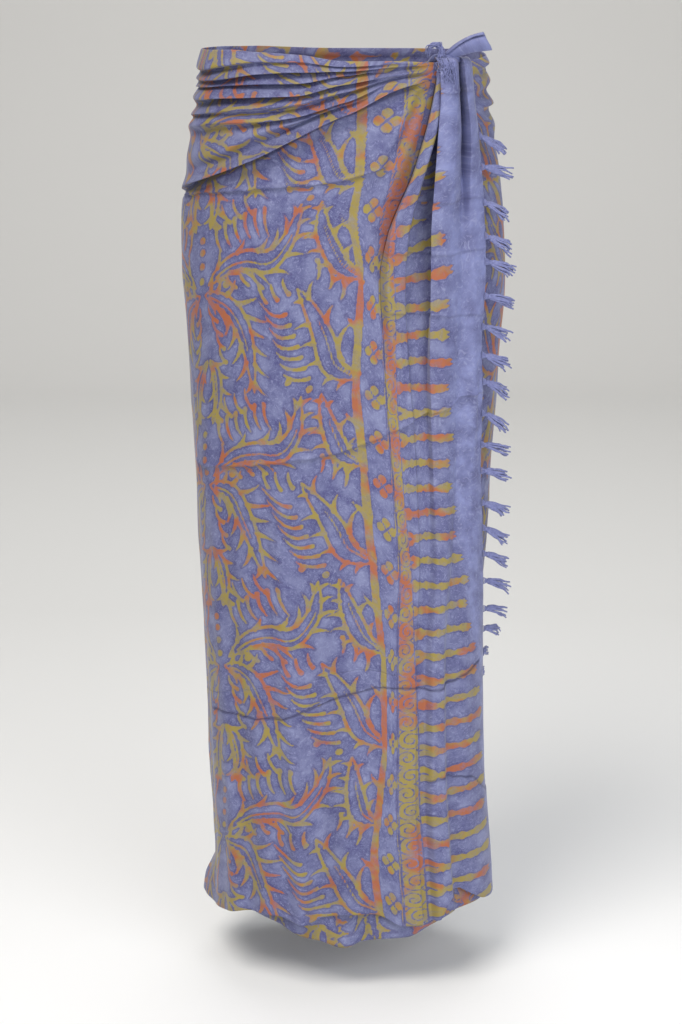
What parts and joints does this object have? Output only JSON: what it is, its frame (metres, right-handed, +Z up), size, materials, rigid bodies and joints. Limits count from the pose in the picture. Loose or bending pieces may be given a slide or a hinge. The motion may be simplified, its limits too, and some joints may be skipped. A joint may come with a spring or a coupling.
{
  "type": "wrap sarong",
  "caption": "Ankle-length batik wrap sarong as worn, knotted at one hip, with leaf print and a tasselled edge falling from the knot.",
  "frame": {"origin": "middle of the waist opening, level with the cloth's upper edge at the front, where a waist holds it", "axes": "+Z up out of the waist opening, +X towards the knot (the wearer's left), +Y towards the wearer's back"},
  "size_m": [0.3808, 0.2598, 1.1006],
  "materials": {
    "printed_rayon": "soft woven rayon, wax-resist print",
    "rayon_thread": "loose twisted thread"
  },
  "bodies": {
    "root": {"front_panel": "printed_rayon", "border_fall": "printed_rayon", "back_wrap": "printed_rayon", "right_wrap": "printed_rayon", "inner_front": "printed_rayon", "knot_roll": "printed_rayon", "knot_tail": "printed_rayon", "corner_wisp": "rayon_thread", "tassel_01": "rayon_thread", "tassel_02": "rayon_thread", "tassel_03": "rayon_thread", "tassel_04": "rayon_thread", "tassel_05": "rayon_thread", "tassel_06": "rayon_thread", "tassel_07": "rayon_thread", "tassel_08": "rayon_thread", "tassel_09": "rayon_thread", "tassel_10": "rayon_thread", "tassel_11": "rayon_thread", "tassel_12": "rayon_thread", "tassel_13": "rayon_thread", "tassel_14": "rayon_thread", "tassel_15": "rayon_thread", "tassel_16": "rayon_thread", "tassel_17": "rayon_thread", "tassel_18": "rayon_thread", "tassel_19": "rayon_thread", "tassel_20": "rayon_thread", "tassel_21": "rayon_thread", "tassel_22": "rayon_thread", "tassel_23": "rayon_thread", "tassel_24": "rayon_thread", "tassel_25": "rayon_thread", "tassel_26": "rayon_thread", "tassel_27": "rayon_thread"}
  },
  "joints": []
}
